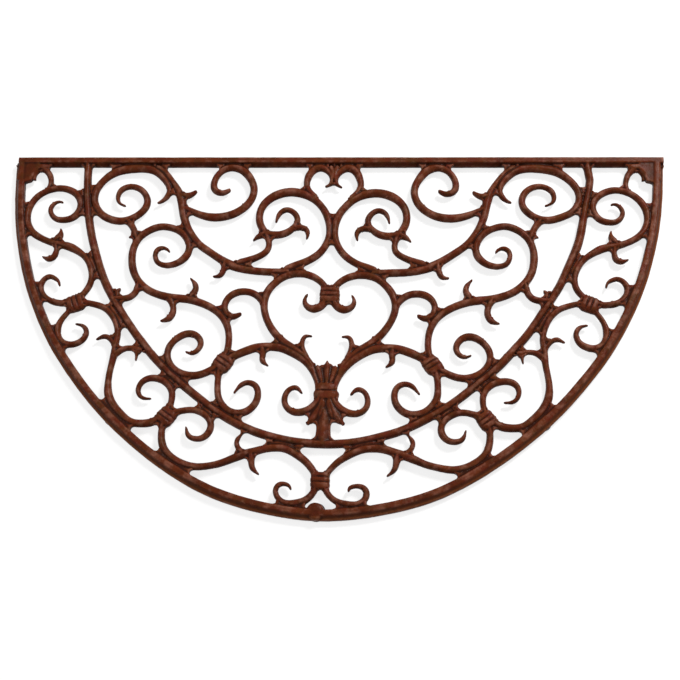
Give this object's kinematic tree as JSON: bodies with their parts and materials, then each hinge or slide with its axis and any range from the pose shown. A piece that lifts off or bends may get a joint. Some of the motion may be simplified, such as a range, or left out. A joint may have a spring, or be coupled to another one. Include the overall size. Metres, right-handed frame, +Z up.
{
  "type": "door mat",
  "caption": "Half-round cast iron door mat of open scrollwork, with a straight rail, a curved rim, an inner arc, cast collars and rubber pads.",
  "frame": {"origin": "on the floor under the middle of the mat's bounding box", "axes": "+X along the straight rail to the right, +Y towards the door (the straight side), +Z up"},
  "size_m": [0.762, 0.4338, 0.013],
  "materials": {
    "cast_iron": "satin rust-brown coating over cast iron",
    "rubber": "matt black rubber"
  },
  "bodies": {
    "root": {"back_rail": "cast_iron", "border_arch_left": "cast_iron", "border_arch_right": "cast_iron", "border_hook_lower_left": "cast_iron", "border_hook_lower_right": "cast_iron", "border_scroll_lower_left": "cast_iron", "border_scroll_lower_right": "cast_iron", "border_scroll_middle_left": "cast_iron", "border_scroll_middle_right": "cast_iron", "border_scroll_upper_left": "cast_iron", "border_scroll_upper_right": "cast_iron", "border_sweep_left": "cast_iron", "border_sweep_right": "cast_iron", "corner_hook_left": "cast_iron", "corner_hook_right": "cast_iron", "crown_scroll_left": "cast_iron", "crown_scroll_right": "cast_iron", "field_collar_left": "cast_iron", "field_collar_right": "cast_iron", "field_curl_left": "cast_iron", "field_curl_right": "cast_iron", "field_scroll_back_left": "cast_iron", "field_scroll_back_right": "cast_iron", "field_scroll_lower_left": "cast_iron", "field_scroll_lower_right": "cast_iron", "field_scroll_middle_left": "cast_iron", "field_scroll_middle_right": "cast_iron", "field_scroll_upper_left": "cast_iron", "field_scroll_upper_right": "cast_iron", "field_stem_left": "cast_iron", "field_stem_right": "cast_iron", "front_boss": "cast_iron", "front_collar": "cast_iron", "heart_collar": "cast_iron", "heart_left": "cast_iron", "heart_loop_left": "cast_iron", "heart_loop_right": "cast_iron", "heart_right": "cast_iron", "inner_arc_left": "cast_iron", "inner_arc_right": "cast_iron", "lower_collar_left": "cast_iron", "lower_collar_right": "cast_iron", "lower_loop_left": "cast_iron", "lower_loop_right": "cast_iron", "pad_corner_left": "rubber", "pad_corner_right": "rubber", "pad_front": "rubber", "pad_side_left": "rubber", "pad_side_right": "rubber", "rim_lower_left": "cast_iron", "rim_lower_right": "cast_iron", "rim_upper_left": "cast_iron", "rim_upper_right": "cast_iron", "sheaf": "cast_iron", "sheaf_stem": "cast_iron", "top_heart_left": "cast_iron", "top_heart_right": "cast_iron", "upper_collar_left": "cast_iron", "upper_collar_right": "cast_iron"}
  },
  "joints": []
}
